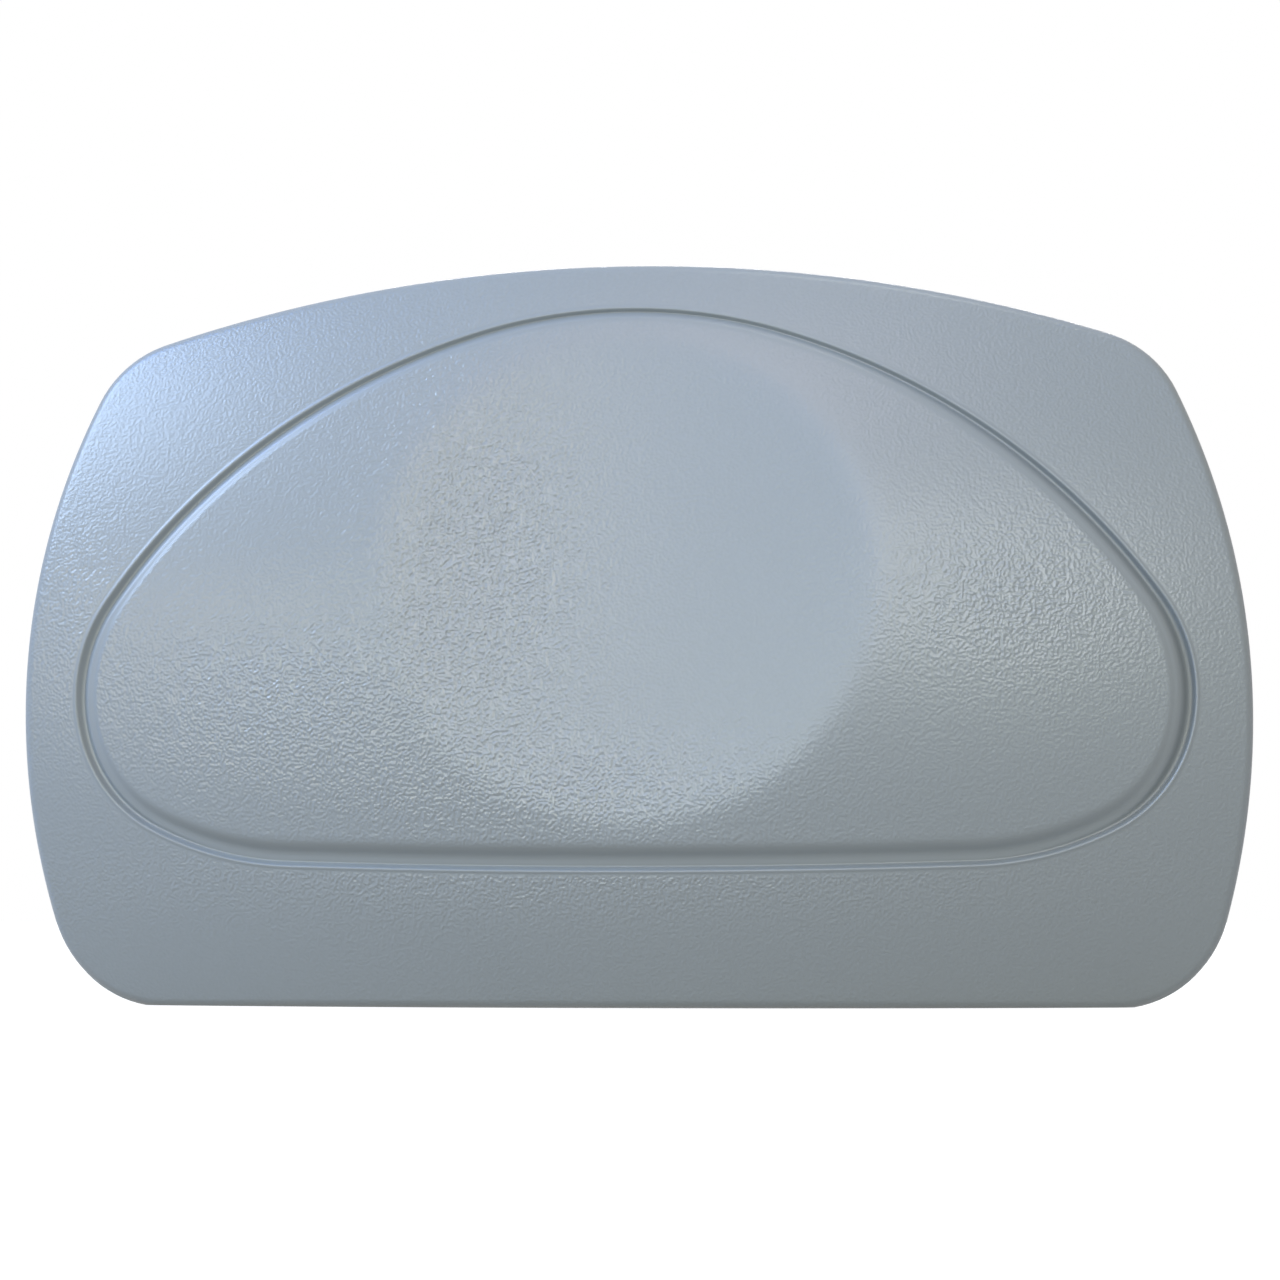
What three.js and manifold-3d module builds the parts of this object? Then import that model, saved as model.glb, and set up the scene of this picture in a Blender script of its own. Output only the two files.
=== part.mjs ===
import * as THREE from 'three';
import { mergeVertices } from 'three/addons/utils/BufferGeometryUtils.js';
import Module from 'manifold-3d';

const wasm = await Module();
wasm.setup();

// Bath pillow for the head end of a tub: a moulded foam pad in a grained skin, held to the tub
// wall by four suction cups that snap into sockets on an insert plate inside the pad.
// Millimetres. X runs along the width, Z up the wall and Y back into it. The wall is the plane
// y = 0, so a height is a distance out from the wall, and a point at height h has y = -h.

// Pad seen from the front. Each half of an outline is a run of tangent arcs from the top middle
// round to the bottom: radius as a share of half the width, then the turn in degrees.
const padWidth = 340;
const padHeight = 206;
const padArcShares = [[2.53, 17.5], [0.205, 47], [1.2, 41.5], [0.196, 73.5]];
// Facets: the turn and the length of outline to a step, and the steps round an edge or a bell
const turnPerStep = 17;
const lengthPerStep = 45;
const edgeSteps = 3;
const hiddenEdgeSteps = 2;
const bellSteps = 5;
const roundSteps = 22;
const socketSteps = 18;
const plateHoleSteps = 8;
const tabRoundSteps = 6;

// Pad seen from the side
const backFaceHeight = 5;
const backRoll = 4.5;
const partingHeight = 10;
const partingGap = 0.3;
const edgeHeight = 28;
const frontRoll = 4;
const crownRise = 24;
const skinWall = 1.6;
const fitGap = 0.3;

// D-shaped groove round the middle panel of the face
const rimAtSides = 17.3;
const rimAtTop = 12.2;
const rimAtBottom = 40;
const grooveArcShares = [[0.885, 14.6], [1.303, 39], [0.29, 50.2], [0.232, 48.2], [0.72, 26.2]];
const grooveDepth = 2.4;
const grooveOuterWall = 1.6;
const grooveFloor = 2.2;
const grooveInnerWall = 3.4;

// Round dish for the head
const dishRadius = 68.6;
const dishDepth = 10;
const dishCentreAbove = 17;
const dishEdgeBlend = 4;

// Suction cups, two by two, and the pockets that they sit back in
const cupInFromSide = 80;
const cupInFromTop = 55;
const pocketRadius = 25;
const pocketFloorRadius = 22.5;
const pocketDepth = 6;
const cupRadius = 21;
const cupLip = 2.2;
const cupLipThickness = 0.8;
const cupHollowDepth = 6.6;
const cupCentreWall = 1.8;
const cupNeckRadius = 4.5;
const cupHeadRadius = 6.5;
const cupHeadRim = 1.4;
const cupHeadLength = 4.2;
const tabWidth = 8;
const tabReach = 6;
const tabThickness = 1.6;
// The bell turns from its crown to its rim at a share of its radius
const bellTurnShare = 0.67;

// Snap sockets
const socketFlangeRadius = 12;
const socketFlange = 1.3;
const socketBarrelRadius = 8.2;
const socketBarb = 1.4;
const socketBarbLength = 3.6;
const socketBore = 5.6;
const socketLipLength = 1.8;
const socketSlit = 1.6;
const socketBridge = 3.4;

// Insert plate
const plateInFromEdge = 28;
const plateThickness = 2.5;
const plateRibWidth = 2;
const plateRibHeight = 3;
const plateHoleRadius = 7;
const plateCollarWall = 2;
// Foam keying holes, placed as shares of the cups' places, and two more at the ends
const plateHoleShares = [
  [0, 0], [0.5, 0], [-0.5, 0], [1, 0], [-1, 0],
  [0, 0.8], [0.5, 0.8], [-0.5, 0.8], [0, -0.8], [0.5, -0.8], [-0.5, -0.8],
];
const plateEndHoleInFromEdge = 14;

// One overrun serves every cut
const overrun = 1;

// Colours and finishes
const skinMaterial = new THREE.MeshStandardMaterial({ color: 0xa2aab0, roughness: 0.48, metalness: 0 });
const backMaterial = new THREE.MeshStandardMaterial({ color: 0x949ca2, roughness: 0.6, metalness: 0 });
const foamMaterial = new THREE.MeshStandardMaterial({ color: 0xd9d3c2, roughness: 0.95, metalness: 0 });
const plateMaterial = new THREE.MeshStandardMaterial({ color: 0xe6e7e3, roughness: 0.5, metalness: 0 });
const socketMaterial = new THREE.MeshStandardMaterial({ color: 0xf2f1ec, roughness: 0.35, metalness: 0 });
const cupMaterial = new THREE.MeshStandardMaterial({ color: 0xc9d3d6, roughness: 0.2, metalness: 0 });

// Half an outline as a run of tangent arcs, mirrored, then stretched to its width and height
function arcOutline(arcShares, width, top, bottom) {
  let x = 0;
  let z = 0;
  let heading = 0;
  const half = [new THREE.Vector2(x, z)];
  const turnBy = (radius, turn) => {
    const length = radius * turn * width / 2;
    const steps = Math.max(1, Math.round(turn / THREE.MathUtils.degToRad(turnPerStep) + length / lengthPerStep));
    const from = heading;
    const middleX = x - radius * Math.sin(from);
    const middleZ = z - radius * Math.cos(from);
    for (let step = 1; step <= steps; step++) {
      heading = from + turn * step / steps;
      x = middleX + radius * Math.sin(heading);
      z = middleZ + radius * Math.cos(heading);
      half.push(new THREE.Vector2(x, z));
    }
  };
  for (const [radius, turn] of arcShares) turnBy(radius, THREE.MathUtils.degToRad(turn));
  const left = Math.PI - heading;
  turnBy(x / Math.sin(left), left);
  const widest = Math.max(...half.map((point) => point.x));
  const lowest = half[half.length - 1].y;
  const right = half.map((point) => new THREE.Vector2(
    point.x / widest * width / 2,
    top + point.y / lowest * (bottom - top),
  ));
  right[right.length - 1].x = 0;
  const mirrored = right.slice(1, -1).reverse().map((point) => new THREE.Vector2(-point.x, point.y));
  return [...right, ...mirrored];
}

// Moves every side of a closed outline outward by a distance
function offset(outline, distance) {
  const outward = (from, to) => new THREE.Vector2(from.y - to.y, to.x - from.x).normalize();
  return outline.map((point, index) => {
    const before = outward(outline[(index + outline.length - 1) % outline.length], point);
    const after = outward(point, outline[(index + 1) % outline.length]);
    const middle = before.clone().add(after).normalize();
    return point.clone().addScaledVector(middle, distance / middle.dot(before));
  });
}

const faceCentre = new THREE.Vector2(0, dishCentreAbove);

// Where the ray from the middle of the face through a point leaves an outline. A ray through
// a corner meets both of its sides, so each side reaches a rounding share past its ends.
const roundingShare = 1e-6;
function castOnto(outline, point) {
  const ray = point.clone().sub(faceCentre).normalize();
  let reach = 0;
  outline.forEach((corner, index) => {
    const start = corner.clone().sub(faceCentre);
    const edge = outline[(index + 1) % outline.length].clone().sub(corner);
    const across = ray.cross(edge);
    if (across === 0) return;
    const share = start.cross(ray) / across;
    if (share > -roundingShare && share < 1 + roundingShare) {
      reach = Math.max(reach, start.cross(edge) / across);
    }
  });
  return faceCentre.clone().addScaledVector(ray, reach);
}

const padOutline = arcOutline(padArcShares, padWidth, padHeight / 2, -padHeight / 2);
const rimOutline = offset(padOutline, -frontRoll);
const grooveShape = arcOutline(
  grooveArcShares,
  padWidth - 2 * rimAtSides,
  padHeight / 2 - rimAtTop,
  rimAtBottom - padHeight / 2,
);
const grooveOutline = padOutline.map((point) => castOnto(grooveShape, point));
const plateOutline = arcOutline(
  padArcShares,
  padWidth - 2 * plateInFromEdge,
  padHeight / 2 - plateInFromEdge,
  plateInFromEdge - padHeight / 2,
);
const grooveWidth = grooveOuterWall + grooveFloor + grooveInnerWall;
const panelOutline = offset(grooveOutline, -grooveWidth);

// Height of the face without its groove: a dome, lowest at the pad's corners, with the dish in it
function faceHeight(point) {
  const crown = crownRise * (1 - (2 * point.x / padWidth) ** 2 - (2 * point.y / padHeight) ** 2);
  const dish = dishDepth * Math.max(0, 1 - (point.distanceTo(faceCentre) / dishRadius) ** 2);
  return edgeHeight + crown - dish;
}

// An outline lifted to heights out from the wall
function ring(outline, heightOf) {
  return outline.map((point, index) => new THREE.Vector3(point.x, -heightOf(point, index), point.y));
}

// A ring on the face, sunk below it by a depth
function faceRing(outline, depth) {
  return ring(outline, (point) => faceHeight(point) - depth);
}

function between(outline, other, share) {
  return outline.map((point, index) => point.clone().lerp(other[index], share));
}

// A circle of the dish on the rays of the outline, kept inside the panel where the two meet
function dishCircle(radius, keptInside) {
  return panelOutline.map((edge) => {
    const ray = edge.clone().sub(faceCentre);
    const reach = Math.min(radius, ray.length() * keptInside);
    return faceCentre.clone().addScaledVector(ray.normalize(), reach);
  });
}

// Rounded edge of the pad from its side inward, as rings at a depth under the skin's outside.
// riseTo gives the height of a ring from its distance short of the flat that the edge runs into.
function edgeRings(roll, depth, steps, riseTo) {
  const rings = [];
  for (let step = 0; step <= steps; step++) {
    const turn = Math.PI / 2 * step / steps;
    const inward = (roll - depth) * Math.cos(turn) - roll;
    const short = roll - (roll - depth) * Math.sin(turn);
    rings.push(ring(offset(padOutline, inward), (point, index) => riseTo(short, index)));
  }
  return rings;
}

function frontEdge(depth, steps) {
  return edgeRings(frontRoll, depth, steps, (short, index) => faceHeight(rimOutline[index]) - short);
}

function backEdge(depth, steps) {
  return edgeRings(backRoll, depth, steps, (short) => backFaceHeight + short);
}

// Joins rings of equal count into a closed skin, with a middle point at each end
function loft(firstMiddle, rings, lastMiddle) {
  const count = rings[0].length;
  const positions = [];
  const triangle = (a, b, c) => positions.push(...a.toArray(), ...b.toArray(), ...c.toArray());
  for (let index = 0; index < count; index++) {
    const next = (index + 1) % count;
    triangle(firstMiddle, rings[0][next], rings[0][index]);
    triangle(lastMiddle, rings[rings.length - 1][index], rings[rings.length - 1][next]);
    for (let level = 1; level < rings.length; level++) {
      const [a, b] = [rings[level - 1][index], rings[level - 1][next]];
      const [c, d] = [rings[level][index], rings[level][next]];
      // The shorter diagonal, so that two surfaces one under the other are faceted alike
      if (a.distanceTo(d) < b.distanceTo(c)) {
        triangle(a, d, c);
        triangle(a, b, d);
      } else {
        triangle(a, b, c);
        triangle(b, d, c);
      }
    }
  }
  const geometry = new THREE.BufferGeometry();
  geometry.setAttribute('position', new THREE.Float32BufferAttribute(positions, 3));
  return mergeVertices(geometry);
}

// A closed geometry as a solid that can be cut and joined, and back
function solid(geometry) {
  const bare = geometry.clone();
  bare.deleteAttribute('normal');
  bare.deleteAttribute('uv');
  const merged = mergeVertices(bare);
  return new wasm.Manifold(new wasm.Mesh({
    numProp: 3,
    vertProperties: new Float32Array(merged.attributes.position.array),
    triVerts: new Uint32Array(merged.index.array),
  }));
}

function geometryOf(body) {
  const mesh = body.getMesh();
  const geometry = new THREE.BufferGeometry();
  geometry.setAttribute('position', new THREE.BufferAttribute(mesh.vertProperties, 3));
  geometry.setIndex(new THREE.BufferAttribute(mesh.triVerts, 1));
  return geometry;
}

// A turned solid on the Y axis, from pairs of radius and height
function turned(profile, steps) {
  const points = profile.map(([radius, height]) => new THREE.Vector2(radius, -height));
  return new THREE.LatheGeometry(points.reverse(), steps);
}

// A flat shape in X and Z, given its thickness outward from a height
function slab(shape, height, thickness) {
  const geometry = new THREE.ExtrudeGeometry(shape, { depth: thickness, bevelEnabled: false });
  return geometry.rotateX(Math.PI / 2).translate(0, -height, 0);
}

function circlePath(x, z, radius, steps) {
  const path = new THREE.Path();
  for (let step = 0; step < steps; step++) {
    const turn = 2 * Math.PI * step / steps;
    const across = x + radius * Math.cos(turn);
    const up = z + radius * Math.sin(turn);
    if (step === 0) path.moveTo(across, up);
    else path.lineTo(across, up);
  }
  path.closePath();
  return path;
}

const cupX = padWidth / 2 - cupInFromSide;
const cupZ = padHeight / 2 - cupInFromTop;
const cupPlaces = [
  ['top_left', -cupX, cupZ],
  ['top_right', cupX, cupZ],
  ['bottom_left', -cupX, -cupZ],
  ['bottom_right', cupX, -cupZ],
];

// Heights from the wall through a pocket: its floor, the plate, and the snap lip of the socket
const pocketFloor = backFaceHeight + pocketDepth;
const plateHeight = pocketFloor + skinWall + fitGap;
const plateFace = plateHeight + plateThickness;
const plateRibTop = plateFace + plateRibHeight;
const barbHeight = plateFace + fitGap;
const socketTop = pocketFloor - fitGap - socketFlange;
const lipEnd = barbHeight + socketLipLength / 2;
const headHeight = lipEnd + fitGap;
const headEnd = headHeight + cupHeadLength;
const socketEnd = headEnd + fitGap;
const socketHole = socketBarrelRadius + fitGap;
const plateCollarRadius = socketBarrelRadius + socketBarb + fitGap;

// Rings just under the skin of the face, from the middle outward
function underFace(depth) {
  return [
    faceRing(dishCircle(dishRadius / 2, 1 / 2), depth),
    faceRing(dishCircle(dishRadius, 1 - dishEdgeBlend / dishRadius), depth),
    faceRing(between(dishCircle(dishRadius, 1 - dishEdgeBlend / dishRadius), panelOutline, 1 / 2), depth),
    faceRing(offset(grooveOutline, -grooveWidth - depth / 2), depth),
    faceRing(offset(grooveOutline, -grooveOuterWall - grooveFloor / 2), depth + grooveDepth),
    faceRing(offset(grooveOutline, depth), depth),
    ...frontEdge(depth, hiddenEdgeSteps).reverse(),
  ];
}

const faceMiddle = (depth) => new THREE.Vector3(0, depth - faceHeight(faceCentre), faceCentre.y);
const backMiddle = (depth) => new THREE.Vector3(0, -backFaceHeight - depth, faceCentre.y);

// Front skin: the grained face with its groove, panel and dish, rolled back to the parting line
function frontSkin() {
  const blendShare = dishEdgeBlend / dishRadius;
  const outerDish = dishCircle(dishRadius + dishEdgeBlend, 1 - blendShare);
  const outside = [
    faceRing(dishCircle(dishRadius / 3, 1 / 3), 0),
    faceRing(dishCircle(dishRadius * 2 / 3, 2 / 3), 0),
    faceRing(dishCircle(dishRadius - dishEdgeBlend, 1 - 2 * blendShare), 0),
    faceRing(outerDish, 0),
    faceRing(between(outerDish, panelOutline, 1 / 2), 0),
    faceRing(panelOutline, 0),
    faceRing(offset(grooveOutline, -grooveOuterWall - grooveFloor), grooveDepth),
    faceRing(offset(grooveOutline, -grooveOuterWall), grooveDepth),
    faceRing(grooveOutline, 0),
    faceRing(between(grooveOutline, rimOutline, 1 / 2), 0),
    ...frontEdge(0, edgeSteps).reverse(),
    ring(padOutline, () => partingHeight),
  ];
  const inside = [ring(offset(padOutline, -skinWall), () => partingHeight), ...underFace(skinWall).reverse()];
  return loft(faceMiddle(0), [...outside, ...inside], faceMiddle(skinWall));
}

// Tapered room of a pocket from a height down to its floor, grown sideways and past the floor
function pocketRoom(x, z, from, grown) {
  const taper = (pocketRadius - pocketFloorRadius) / pocketDepth;
  const mouth = pocketRadius + taper * (backFaceHeight - from) + grown;
  const floor = pocketFloor + grown;
  const room = turned([[0, from], [mouth, from], [pocketFloorRadius + grown, floor], [0, floor]], roundSteps);
  return solid(room.translate(x, 0, z));
}

function roundRoom(x, z, radius, from, to) {
  return solid(turned([[0, from], [radius, from], [radius, to], [0, to]], roundSteps).translate(x, 0, z));
}

function ringRoom(x, z, radius, wall, from, to) {
  const profile = [[radius, from], [radius + wall, from], [radius + wall, to], [radius, to], [radius, from]];
  return solid(turned(profile, roundSteps).translate(x, 0, z));
}

// Back skin: a smooth tray with a pocket for each cup and a hole for its socket
function backSkin() {
  const lip = partingHeight - partingGap;
  const outside = [ring(padOutline, () => lip), ...backEdge(0, edgeSteps)];
  const inside = [ring(offset(padOutline, -skinWall), () => lip), ...backEdge(skinWall, hiddenEdgeSteps)];
  let tray = solid(loft(backMiddle(skinWall), [...inside.reverse(), ...outside], backMiddle(0)));
  for (const [, x, z] of cupPlaces) {
    tray = tray.add(pocketRoom(x, z, backFaceHeight + skinWall / 2, skinWall));
    tray = tray.subtract(pocketRoom(x, z, backFaceHeight - overrun, 0));
    tray = tray.subtract(roundRoom(x, z, socketHole, pocketFloor - overrun, plateHeight));
  }
  return geometryOf(tray);
}

// Outline of the insert plate with its holes, grown by a clearance
function plateShape(clearance) {
  const shape = new THREE.Shape(offset(plateOutline, clearance));
  const endX = padWidth / 2 - plateInFromEdge - plateEndHoleInFromEdge;
  const holes = plateHoleShares.map(([acrossShare, upShare]) => [cupX * acrossShare, cupZ * upShare]);
  for (const [x, z] of [...holes, [endX, 0], [-endX, 0]]) {
    shape.holes.push(circlePath(x, z, plateHoleRadius - clearance, plateHoleSteps));
  }
  return shape;
}

// A flat band inside an outline
function bandShape(outline, width) {
  const shape = new THREE.Shape(outline);
  shape.holes.push(new THREE.Path(offset(outline, -width).reverse()));
  return shape;
}

// Insert plate: a perforated carrier with a stiffening rib round it and a collar at each socket
function insertPlate() {
  const ribRoot = plateHeight + plateThickness / 2;
  const ribOutline = offset(plateOutline, -plateRibWidth);
  let plate = solid(slab(plateShape(0), plateHeight, plateThickness));
  plate = plate.add(solid(slab(bandShape(ribOutline, plateRibWidth), ribRoot, plateRibTop - ribRoot)));
  for (const [, x, z] of cupPlaces) {
    plate = plate.add(ringRoom(x, z, plateCollarRadius, plateCollarWall, ribRoot, plateRibTop));
    plate = plate.subtract(roundRoom(x, z, socketHole, plateHeight - overrun, plateFace + overrun));
  }
  return geometryOf(plate);
}

// Foam core: fills the two skins round the plate, and keys through the plate's holes
function foamCore() {
  const depth = skinWall + fitGap;
  const ribRoot = plateHeight + plateThickness / 2;
  const ribRoom = bandShape(offset(plateOutline, fitGap - plateRibWidth), plateRibWidth + 2 * fitGap);
  const rings = [...underFace(depth), ...backEdge(depth, hiddenEdgeSteps)];
  let foam = solid(loft(faceMiddle(depth), rings, backMiddle(depth)));
  foam = foam.subtract(solid(slab(plateShape(fitGap), plateHeight - fitGap, plateThickness + 2 * fitGap)));
  foam = foam.subtract(solid(slab(ribRoom, ribRoot, plateRibTop + fitGap - ribRoot)));
  for (const [, x, z] of cupPlaces) {
    const collar = plateCollarRadius + plateCollarWall + fitGap;
    foam = foam.subtract(pocketRoom(x, z, backFaceHeight, depth));
    foam = foam.subtract(roundRoom(x, z, collar, ribRoot, plateRibTop + fitGap));
    foam = foam.subtract(roundRoom(x, z, socketHole + socketBarb, ribRoot, socketEnd + fitGap));
  }
  return geometryOf(foam);
}

// Snap socket: a flanged bush whose four fingers carry a barb outside and a snap lip inside
function cupSocket() {
  const lipRadius = cupNeckRadius + fitGap;
  const chamberRadius = cupHeadRadius + fitGap;
  const lipStart = lipEnd - socketLipLength;
  const leadIn = socketBore - lipRadius;
  const bush = solid(turned([
    [socketBore, socketTop],
    [socketFlangeRadius, socketTop],
    [socketFlangeRadius, socketTop + socketFlange],
    [socketBarrelRadius, socketTop + socketFlange],
    [socketBarrelRadius, barbHeight],
    [socketBarrelRadius + socketBarb, barbHeight],
    [socketBarrelRadius, barbHeight + socketBarbLength],
    [socketBarrelRadius, socketEnd],
    [chamberRadius, socketEnd],
    [chamberRadius, lipEnd],
    [lipRadius, lipEnd],
    [lipRadius, lipStart],
    [socketBore, lipStart - leadIn],
    [socketBore, socketTop],
  ], socketSteps));
  const slitStart = socketTop + socketBridge;
  const slitLength = socketEnd + overrun - slitStart;
  const slitReach = 2 * (socketBarrelRadius + socketBarb + overrun);
  const slitMiddle = -slitStart - slitLength / 2;
  const across = solid(new THREE.BoxGeometry(slitReach, slitLength, socketSlit).translate(0, slitMiddle, 0));
  const upright = solid(new THREE.BoxGeometry(socketSlit, slitLength, slitReach).translate(0, slitMiddle, 0));
  return geometryOf(bush.subtract(across).subtract(upright));
}

// Suction cup: a thin bell with a flat sealing lip, a neck, a mushroom head and a release tab
function suctionCup() {
  const hollowRadius = cupRadius - cupLip;
  const hollow = new THREE.Path();
  hollow.moveTo(0, cupHollowDepth);
  hollow.quadraticCurveTo(hollowRadius * bellTurnShare, cupHollowDepth, hollowRadius, 0);
  const crown = cupHollowDepth + cupCentreWall;
  const shoulder = new THREE.Path();
  shoulder.moveTo(cupRadius, cupLipThickness);
  shoulder.quadraticCurveTo(cupRadius * bellTurnShare, crown, cupNeckRadius, socketTop - fitGap);
  const pairs = (path) => path.getPoints(bellSteps).map((point) => [point.x, point.y]);
  const bell = solid(turned([
    ...pairs(hollow),
    [cupRadius, 0],
    ...pairs(shoulder),
    [cupNeckRadius, headHeight],
    [cupHeadRadius, headHeight],
    [cupHeadRadius, headHeight + cupHeadRim],
    [cupNeckRadius, headEnd],
    [0, headEnd],
  ], roundSteps));
  const tongue = new THREE.Shape();
  const tabRoot = -cupRadius + cupLip;
  const tabRound = tabWidth / 2;
  const tabEnd = -cupRadius - tabReach + tabRound;
  tongue.moveTo(tabRound, tabRoot);
  tongue.lineTo(-tabRound, tabRoot);
  tongue.lineTo(-tabRound, tabEnd);
  tongue.absarc(0, tabEnd, tabRound, Math.PI, 2 * Math.PI, false);
  tongue.closePath();
  const extrusion = { depth: tabThickness, bevelEnabled: false, curveSegments: tabRoundSteps };
  const tab = new THREE.ExtrudeGeometry(tongue, extrusion);
  tab.rotateX(Math.PI / 2).translate(0, -cupLipThickness, 0);
  return geometryOf(bell.add(solid(tab)));
}

const pillow = new THREE.Group();

function place(name, geometry, material, x, z) {
  const mesh = new THREE.Mesh(geometry, material);
  mesh.name = name;
  mesh.position.set(x, 0, z);
  pillow.add(mesh);
}

place('front_skin', frontSkin(), skinMaterial, 0, 0);
place('back_skin', backSkin(), backMaterial, 0, 0);
place('foam_core', foamCore(), foamMaterial, 0, 0);
place('insert_plate', insertPlate(), plateMaterial, 0, 0);
const socketGeometry = cupSocket();
const cupGeometry = suctionCup();
for (const [corner, x, z] of cupPlaces) {
  place(`cup_socket_${corner}`, socketGeometry, socketMaterial, x, z);
  place(`suction_cup_${corner}`, cupGeometry, cupMaterial, x, z);
}

export default pillow;
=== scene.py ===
import math

import bmesh
import bpy
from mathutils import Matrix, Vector


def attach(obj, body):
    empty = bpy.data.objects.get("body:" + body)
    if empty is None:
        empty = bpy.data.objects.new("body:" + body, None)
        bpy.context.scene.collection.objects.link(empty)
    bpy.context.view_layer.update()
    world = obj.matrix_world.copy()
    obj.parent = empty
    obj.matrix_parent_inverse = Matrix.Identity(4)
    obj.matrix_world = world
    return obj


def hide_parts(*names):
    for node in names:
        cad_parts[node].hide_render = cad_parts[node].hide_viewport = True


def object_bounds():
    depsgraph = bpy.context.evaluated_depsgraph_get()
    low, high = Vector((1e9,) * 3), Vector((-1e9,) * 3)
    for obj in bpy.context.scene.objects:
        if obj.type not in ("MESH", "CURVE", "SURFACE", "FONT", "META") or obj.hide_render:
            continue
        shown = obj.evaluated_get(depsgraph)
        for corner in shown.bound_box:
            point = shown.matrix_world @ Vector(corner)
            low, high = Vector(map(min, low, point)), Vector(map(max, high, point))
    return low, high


# Bath pillow for the head end of a tub, made piece by piece: suction cups, snap sockets, back
# skin, grained front skin, insert plate and foam, then the studio that it stands in. Metres, with
# X along the width, Z up the wall and Y back into it. The wall is the plane y = 0, and a height is
# a distance out from the wall, so a point at height h has y = -h.
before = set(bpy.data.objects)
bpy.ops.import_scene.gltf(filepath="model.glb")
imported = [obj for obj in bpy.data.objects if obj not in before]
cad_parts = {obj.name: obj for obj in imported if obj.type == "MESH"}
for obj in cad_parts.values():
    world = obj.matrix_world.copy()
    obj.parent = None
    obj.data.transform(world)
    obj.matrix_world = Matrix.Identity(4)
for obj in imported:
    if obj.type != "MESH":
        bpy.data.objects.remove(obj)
cad_low, cad_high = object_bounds()
mm = 0.001

# Suction cups: a thin bell with a flat sealing lip, a neck, a mushroom head that snaps into the
# socket, and a release tab with grip bars. Injection moulded in one piece of clear soft vinyl,
# and made four times.
cup_radius = 21 * mm
cup_lip = 2.2 * mm
cup_lip_thickness = 0.8 * mm
cup_hollow_depth = 6.6 * mm
cup_neck_radius = 4.5 * mm
cup_neck_start = 9.1 * mm
cup_bell_crown = 8.4 * mm
cup_head_radius = 6.5 * mm
cup_head_rim = 1.4 * mm
cup_head_start = 16.9 * mm
cup_head_end = 21.1 * mm
cup_turn_share = 0.67
cup_edge_round = 0.25 * mm
tab_width = 8 * mm
tab_reach = 6 * mm
tab_root_in = 3 * mm
tab_thickness = 1.6 * mm
tab_round = 0.35 * mm
tab_round_middle = tab_width / 2 - cup_radius - tab_reach
grip_bars = 3
grip_bar_length = 5 * mm
grip_bar_width = 0.7 * mm
grip_bar_height = 0.4 * mm
grip_bar_round = grip_bar_width / 4
grip_bar_gap = 1.5 * mm
round_steps = 96
bell_steps = 14
edge_segments = 3
cup_places = {
    "top_left": (-90 * mm, 48 * mm),
    "top_right": (90 * mm, 48 * mm),
    "bottom_left": (-90 * mm, -48 * mm),
    "bottom_right": (90 * mm, -48 * mm),
}
merge_distance = 0.001 * mm


def linear(hex_colour):
    """An sRGB hex colour as the linear one that a shader takes."""
    channels = [int(hex_colour[i : i + 2], 16) / 255 for i in (0, 2, 4)]
    return [c / 12.92 if c <= 0.04045 else ((c + 0.055) / 1.055) ** 2.4 for c in channels] + [1]


def add_node(tree, kind, settings=None, links=None):
    """Adds a shader node, with its own settings, its sockets' values, and the links into it."""
    made = tree.nodes.new("ShaderNode" + kind)
    for name, value in (settings or {}).items():
        if isinstance(name, int) or name in made.inputs:
            made.inputs[name].default_value = value
        else:
            setattr(made, name, value)
    for name, source in (links or {}).items():
        tree.links.new(source, made.inputs[name])
    return made


def start_material(name, settings):
    """A material whose only nodes are its shader, with these settings, and its output."""
    material = bpy.data.materials.new(name)
    material.use_nodes = True
    tree = material.node_tree
    tree.nodes.clear()
    shader = add_node(tree, "BsdfPrincipled", settings)
    add_node(tree, "OutputMaterial", links={"Surface": shader.outputs["BSDF"]})
    return material, tree, shader


def curve(start, bend, end, steps):
    """Points along a quadratic curve, with both ends."""
    shares = [step / steps for step in range(steps + 1)]
    return [
        tuple((1 - t) ** 2 * a + 2 * t * (1 - t) * b + t**2 * c for a, b, c in zip(start, bend, end))
        for t in shares
    ]


def spun(profile, steps, closed=False):
    """Turns a profile of (radius, height) pairs round the Y axis into a closed body."""
    bm = bmesh.new()
    verts = [bm.verts.new((radius, -height, 0)) for radius, height in profile]
    pairs = list(zip(verts, verts[1:])) + ([(verts[-1], verts[0])] if closed else [])
    edges = [bm.edges.new(pair) for pair in pairs]
    bmesh.ops.spin(
        bm, geom=verts + edges, cent=(0, 0, 0), axis=(0, 1, 0), angle=2 * math.pi,
        steps=steps, use_merge=True,
    )
    bmesh.ops.remove_doubles(bm, verts=bm.verts, dist=merge_distance)
    bmesh.ops.recalc_face_normals(bm, faces=bm.faces)
    return bm


def soften(bm, width, segments, sharper_than=math.radians(40)):
    """Rounds every edge that is sharper than an angle."""
    edges = [e for e in bm.edges if e.is_manifold and e.calc_face_angle() > sharper_than]
    bmesh.ops.bevel(
        bm, geom=edges, offset=width, segments=segments, profile=0.5, affect="EDGES",
        material=-1, clamp_overlap=True,
    )
    return bm


def block(size, middle):
    """A box of that size round a middle point."""
    bm = bmesh.new()
    bmesh.ops.create_cube(bm, size=1)
    bmesh.ops.scale(bm, vec=size, verts=bm.verts)
    bmesh.ops.translate(bm, vec=middle, verts=bm.verts)
    return bm


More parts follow.
